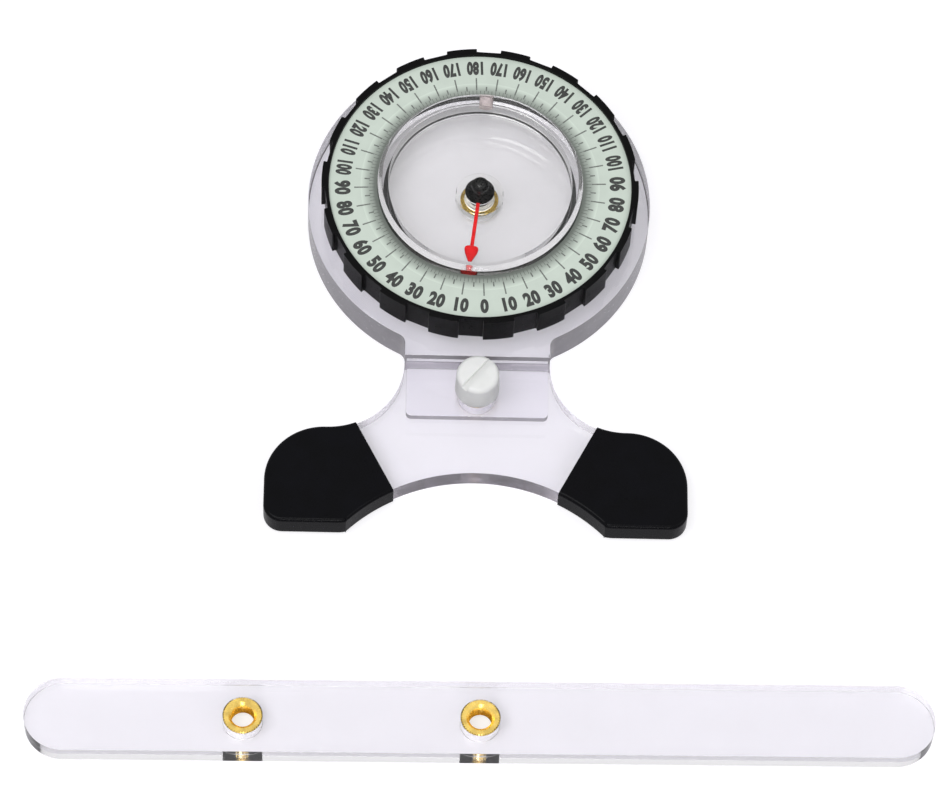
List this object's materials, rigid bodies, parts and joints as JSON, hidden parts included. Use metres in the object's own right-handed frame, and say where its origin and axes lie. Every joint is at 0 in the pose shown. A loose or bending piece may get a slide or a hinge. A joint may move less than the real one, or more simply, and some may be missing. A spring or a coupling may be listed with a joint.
{
  "type": "inclinometer",
  "caption": "Gravity inclinometer: clear head with a turning degree dial, liquid-damped needle, booted saddle foot held by a slotted clamp screw, and a spare straight bar.",
  "frame": {"origin": "on the dial's axis, at the head's flat back, in the plane that the tool lies on", "axes": "+Z out of the dial, -Y from the dial towards the feet, +X to the right as the dial is read"},
  "size_m": [0.1651, 0.1462, 0.0161],
  "materials": {
    "clear_acrylic": "clear polished acrylic",
    "clear_capsule": "clear moulded plastic, glossy",
    "black_plastic": "moulded black plastic, satin",
    "boot_vinyl": "dipped vinyl, soft sheen",
    "dial_face": "pale matt print",
    "white_nylon": "natural nylon, satin",
    "needle_red": "gloss red paint",
    "brass": "turned brass",
    "pivot_steel": "ground steel",
    "pivot_jewel": "polished jewel",
    "fill_plug": "pinkish grey plastic",
    "seal_rubber": "milky silicone rubber"
  },
  "bodies": {
    "head": {"head_body": "clear_acrylic", "head_insert": "brass", "thrust_washer": "brass", "spindle": "black_plastic", "pivot_pin": "pivot_steel", "foot_plate": "clear_acrylic", "left_boot": "boot_vinyl", "right_boot": "boot_vinyl", "foot_insert": "brass"},
    "dial": {"bezel_ring": "black_plastic", "dial_card": "dial_face", "capsule_cover": "clear_capsule", "capsule_floor": "clear_capsule", "fill_plug": "fill_plug", "spindle_seal": "seal_rubber"},
    "needle": {"needle_hub": "black_plastic", "pivot_jewel": "pivot_jewel", "needle_shaft": "needle_red", "arrow_weight": "needle_red"},
    "screw": {"clamp_screw": "white_nylon"},
    "bar": {"straight_bar": "clear_acrylic", "bar_middle_insert": "brass", "bar_side_insert": "brass"}
  },
  "joints": [
    {"name": "dial_turn", "type": "hinge", "parent": "head", "child": "dial", "pos_m": [0, 0, 0], "axis": [0, 0, 1], "continuous": true},
    {"name": "needle_swing", "type": "hinge", "parent": "head", "child": "needle", "pos_m": [0, 0, 0], "axis": [0, 0, 1], "continuous": true},
    {"name": "screw_turn", "type": "hinge", "parent": "head", "child": "screw", "pos_m": [0, -0.0393, 0], "axis": [0, 0, 1], "range_deg": [0, 1935]},
    {"name": "bar_lift", "type": "slide", "parent": "head", "child": "bar", "axis": [0, 0, 1], "range_m": [0, 0.06]}
  ]
}
